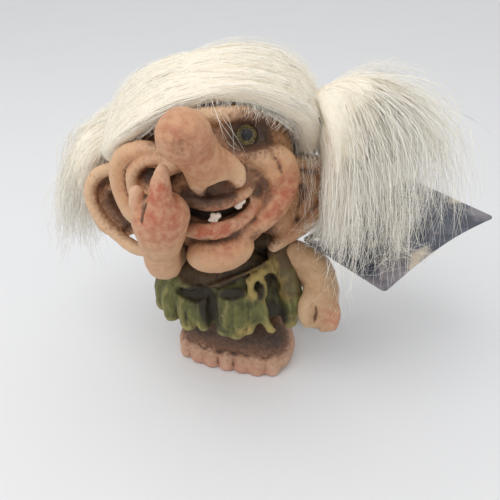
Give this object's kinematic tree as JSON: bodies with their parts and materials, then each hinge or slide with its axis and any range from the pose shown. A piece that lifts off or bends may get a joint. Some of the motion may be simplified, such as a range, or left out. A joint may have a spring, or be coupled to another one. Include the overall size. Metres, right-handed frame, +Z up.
{
  "type": "troll figure",
  "caption": "Standing troll figure in painted cast resin, with a leaf tunic, big nose and ears, glass eyes, a long fur wig, one hand raised to its mouth and a card swing tag.",
  "frame": {"origin": "middle of the soles, on the surface that the figure stands on", "axes": "+Z up, -Y the way the feet face, +X the figure's own left"},
  "size_m": [0.1452, 0.0911, 0.108],
  "materials": {
    "skin": "painted cast skin, brown wash in the folds, pink blush on nose, cheeks and hand",
    "feet": "painted cast skin, dark wash between the toes",
    "tunic": "painted green over dark brown, leaf tips brushed yellow",
    "tooth": "glossy off-white",
    "eye_glass": "clear polished dome",
    "eye_iris": "gold and olive rings under glass",
    "eye_pupil": "black under glass",
    "eye_back": "black back and pin",
    "hide": "suede side of a long-haired hide",
    "fur": "long loose cream fur",
    "card": "printed card, half matt, slate blue and grey"
  },
  "bodies": {
    "figure": {"feet": "feet", "tunic_body": "tunic", "left_arm": "skin", "right_arm": "skin", "head": "skin", "upper_tooth": "tooth", "lower_tooth": "tooth", "wig_hide": "hide", "wig_crown": "fur", "wig_back": "fur", "wig_left_lock": "fur", "wig_right_lock": "fur", "tail": "skin", "tail_tuft": "fur", "left_eye_glass": "eye_glass", "left_eye_iris": "eye_iris", "left_eye_pupil": "eye_pupil", "left_eye_shank": "eye_back", "right_eye_glass": "eye_glass", "right_eye_iris": "eye_iris", "right_eye_pupil": "eye_pupil", "right_eye_shank": "eye_back"},
    "tag": {"swing_tag": "card"}
  },
  "joints": [
    {"name": "tag_swing", "type": "hinge", "parent": "figure", "child": "tag", "pos_m": [0.02656, 0.00655, 0.04945], "axis": [-0.0594, -0.1632, 0.9848], "range_deg": [-15, 15]}
  ]
}
